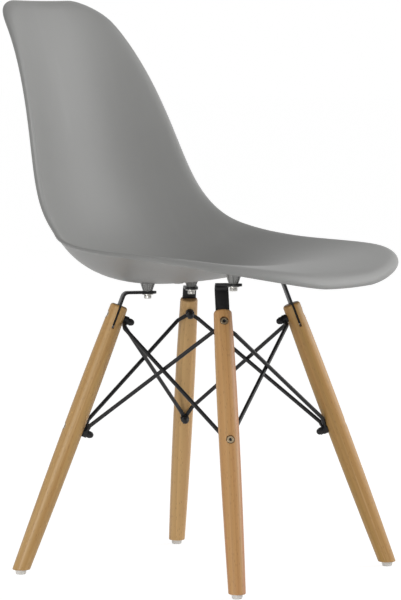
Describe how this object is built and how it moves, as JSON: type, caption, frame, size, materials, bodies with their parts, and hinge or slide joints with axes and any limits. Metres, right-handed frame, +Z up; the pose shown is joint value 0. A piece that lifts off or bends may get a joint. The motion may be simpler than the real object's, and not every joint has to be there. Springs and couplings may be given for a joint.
{
  "type": "shell chair",
  "caption": "Moulded plastic shell chair on splayed beech legs, braced by crossed black steel rods and held by flat steel brackets.",
  "frame": {"origin": "on the floor, under the middle of the chair's overall box", "axes": "+Z up, -Y towards the front edge of the seat, +X towards the sitter's left"},
  "size_m": [0.4896, 0.5529, 0.8218],
  "materials": {
    "shell_plastic": "satin moulded polypropylene, mid grey",
    "beech": "clear satin lacquer over light beech",
    "black_steel": "semi-gloss black paint",
    "bright_steel": "zinc plated",
    "glide_plastic": "pale translucent nylon",
    "insert_brass": "turned brass"
  },
  "bodies": {
    "root": {"seat_shell": "shell_plastic", "leg_front_right": "beech", "bracket_front_right": "black_steel", "glide_front_right": "glide_plastic", "leg_front_left": "beech", "bracket_front_left": "black_steel", "glide_front_left": "glide_plastic", "leg_rear_right": "beech", "bracket_rear_right": "black_steel", "glide_rear_right": "glide_plastic", "leg_rear_left": "beech", "bracket_rear_left": "black_steel", "glide_rear_left": "glide_plastic", "leg_upper_bolts": "bright_steel", "leg_lower_bolts": "bright_steel", "cap_nuts": "black_steel", "bolt_washers": "black_steel", "seat_inserts": "insert_brass", "seat_flat_washers": "bright_steel", "seat_spring_washers": "bright_steel", "seat_bolts": "bright_steel", "glide_screws": "bright_steel", "rod_front_right_to_front_left": "black_steel", "rod_front_left_to_front_right": "black_steel", "rod_front_left_to_rear_left": "black_steel", "rod_rear_left_to_front_left": "black_steel", "rod_rear_left_to_rear_right": "black_steel", "rod_rear_right_to_rear_left": "black_steel", "rod_rear_right_to_front_right": "black_steel", "rod_front_right_to_rear_right": "black_steel"}
  },
  "joints": []
}
